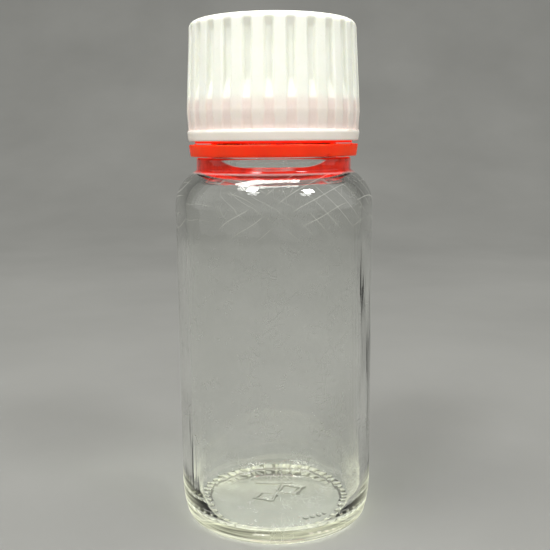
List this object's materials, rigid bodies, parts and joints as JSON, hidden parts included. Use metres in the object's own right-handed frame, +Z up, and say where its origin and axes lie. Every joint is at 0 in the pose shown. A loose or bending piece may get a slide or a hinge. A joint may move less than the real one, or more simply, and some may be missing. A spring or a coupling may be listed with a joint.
{
  "type": "bottle with child-resistant screw cap",
  "caption": "Clear round glass liquid bottle with a ribbed child-resistant screw cap, tamper band and foam-lined inner cap.",
  "frame": {"origin": "centre of the plane the bottle stands on", "axes": "+Z up along the bottle's axis, +X to the viewer's right, +Y away from the viewer"},
  "size_m": [0.041, 0.041, 0.1037],
  "materials": {
    "clear_glass": "polished",
    "white_cap": "satin",
    "red_cap": "satin",
    "spring_plastic": "natural",
    "foam": "foamed",
    "film": "smooth"
  },
  "bodies": {
    "bottle": {"glass_bottle": "clear_glass"},
    "tamper_ring": {"tamper_band": "red_cap"},
    "seal": {"sealing_liner": "foam", "liner_facing": "film"},
    "inner": {"inner_cap": "red_cap"},
    "spring": {"spring_fingers": "spring_plastic"},
    "outer": {"outer_cap": "white_cap"}
  },
  "joints": [
    {"name": "band_turn", "type": "hinge", "parent": "bottle", "child": "tamper_ring", "pos_m": [0, 0, 0.0783], "axis": [0, 0, 1], "continuous": true},
    {"name": "cap_rise", "type": "slide", "parent": "bottle", "child": "seal", "axis": [0, 0, 1], "range_m": [0, 0.024]},
    {"name": "cap_turn", "type": "hinge", "parent": "seal", "child": "inner", "pos_m": [0, 0, 0.09], "axis": [0, 0, 1], "range_deg": [0, 2880]},
    {"name": "outer_turn", "type": "hinge", "parent": "inner", "child": "spring", "pos_m": [0, 0, 0.101], "axis": [0, 0, 1], "continuous": true},
    {"name": "push_down", "type": "slide", "parent": "spring", "child": "outer", "axis": [0, 0, 1], "range_m": [-0.00055, 0], "stiffness_N_per_m": 2000, "deforming": ["spring_fingers"]}
  ],
  "couplings": [
    {"joint": "cap_rise", "follows": "cap_turn", "m_per_rad": 0.00047746}
  ]
}
